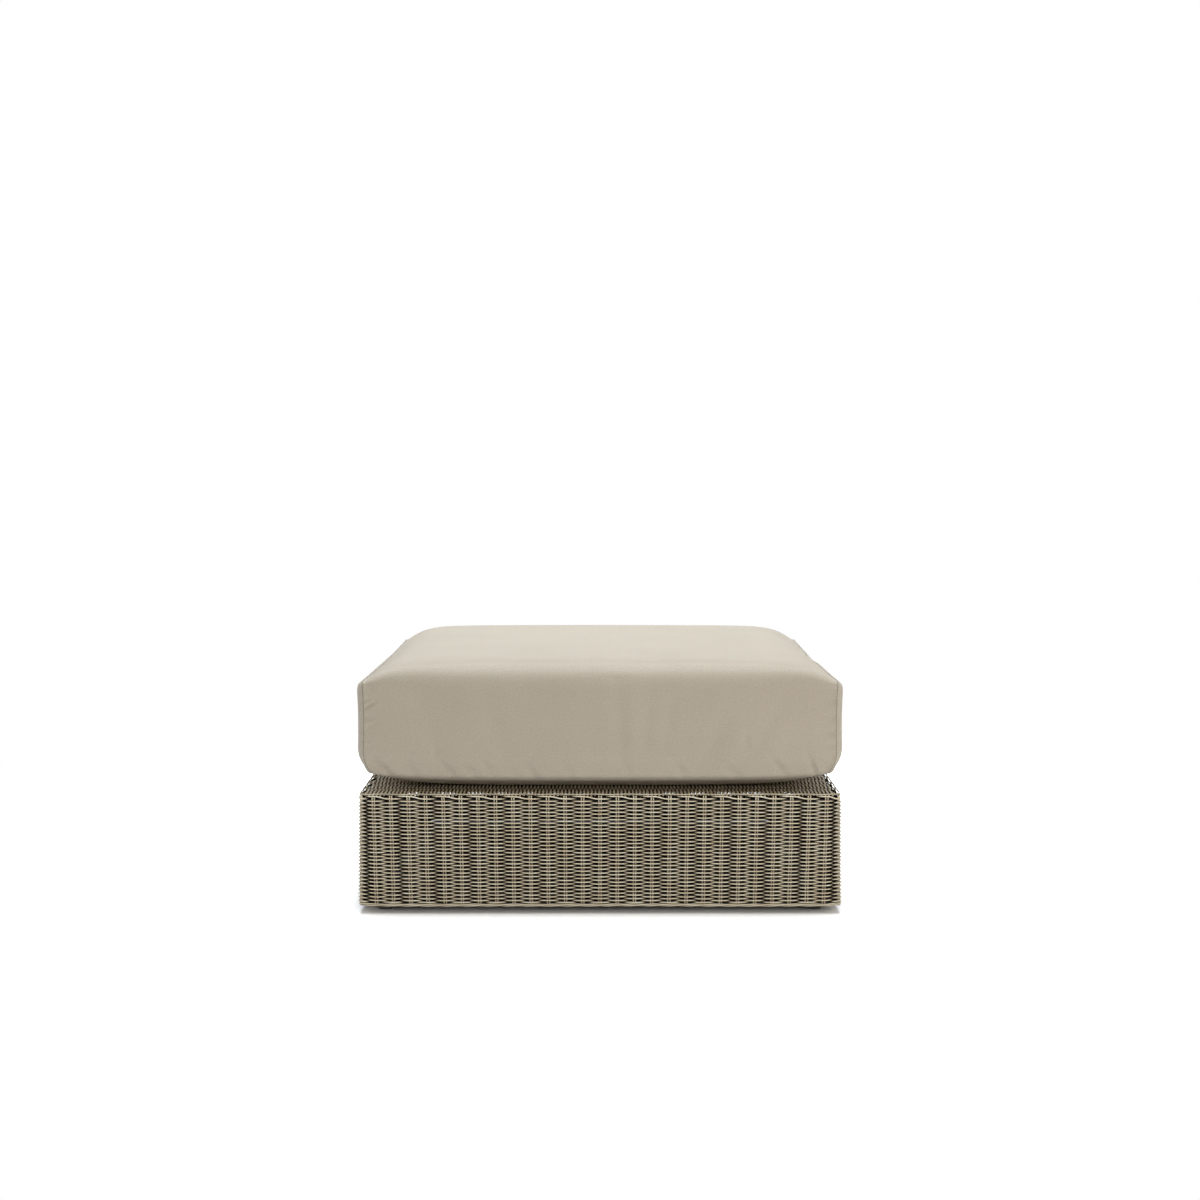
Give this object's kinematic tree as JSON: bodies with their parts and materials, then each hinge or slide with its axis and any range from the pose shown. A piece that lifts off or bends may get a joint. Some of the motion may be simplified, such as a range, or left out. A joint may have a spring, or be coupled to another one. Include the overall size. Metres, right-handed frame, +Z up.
{
  "type": "outdoor ottoman footstool",
  "caption": "Square woven resin ottoman on a tube frame, with a thick loose box cushion that lifts off and a cover that unzips at the back.",
  "frame": {"origin": "on the floor under the middle of the base", "axes": "+Z up, -Y to the front that the picture shows, +X to the right seen from the front"},
  "size_m": [0.9046, 0.889, 0.4633],
  "materials": {
    "strand": "satin",
    "dark_strand": "satin",
    "frame_coat": "satin",
    "glide": "matte",
    "canvas": "matte",
    "fibre": "matte",
    "foam": "matte",
    "zip_tape": "matte",
    "zip_coil": "satin",
    "zip_metal": "polished"
  },
  "bodies": {
    "base": {"leg_front_left": "frame_coat", "leg_front_right": "frame_coat", "leg_back_right": "frame_coat", "leg_back_left": "frame_coat", "top_rail_front": "frame_coat", "top_rail_right": "frame_coat", "top_rail_back": "frame_coat", "top_rail_left": "frame_coat", "bottom_rail_front": "frame_coat", "bottom_rail_right": "frame_coat", "bottom_rail_back": "frame_coat", "bottom_rail_left": "frame_coat", "upright_front_1": "frame_coat", "upright_front_2": "frame_coat", "upright_right_1": "frame_coat", "upright_right_2": "frame_coat", "upright_back_1": "frame_coat", "upright_back_2": "frame_coat", "upright_left_1": "frame_coat", "upright_left_2": "frame_coat", "deck_bar_1": "frame_coat", "deck_bar_2": "frame_coat", "deck_bar_3": "frame_coat", "deck_bar_4": "frame_coat", "glide_front_left": "glide", "glide_front_right": "glide", "glide_back_right": "glide", "glide_back_left": "glide", "foot_wrap_front_left": "dark_strand", "foot_wrap_front_right": "dark_strand", "foot_wrap_back_right": "dark_strand", "foot_wrap_back_left": "dark_strand", "skirt_front": "strand", "skirt_right": "strand", "skirt_back": "strand", "skirt_left": "strand", "top_border_front": "strand", "top_border_right": "strand", "top_border_back": "strand", "top_border_left": "strand", "bottom_border_front": "dark_strand", "bottom_border_right": "dark_strand", "bottom_border_back": "dark_strand", "bottom_border_left": "dark_strand", "woven_deck": "dark_strand"},
    "cushion": {"cushion_wrap_panel": "canvas", "cushion_side_panel_left": "canvas", "cushion_side_panel_right": "canvas", "fibre_wrap": "fibre", "foam_core": "foam", "zip_tape_upper": "zip_tape", "zip_tape_lower": "zip_tape", "zip_chain": "zip_coil", "zip_stop_left": "zip_metal", "zip_stop_right": "zip_metal"},
    "slider": {"zip_slider": "zip_metal"},
    "pull": {"zip_pull": "zip_metal"}
  },
  "joints": [
    {"name": "cushion_lift", "type": "slide", "parent": "base", "child": "cushion", "axis": [0, 0, 1], "range_m": [0, 0.25]},
    {"name": "zip_slide", "type": "slide", "parent": "cushion", "child": "slider", "axis": [-1, 0, 0], "range_m": [0, 0.677]},
    {"name": "pull_hinge", "type": "hinge", "parent": "slider", "child": "pull", "pos_m": [0.3388, 0.439, 0.3393], "axis": [0, 0, -1], "range_deg": [0, 170]}
  ]
}
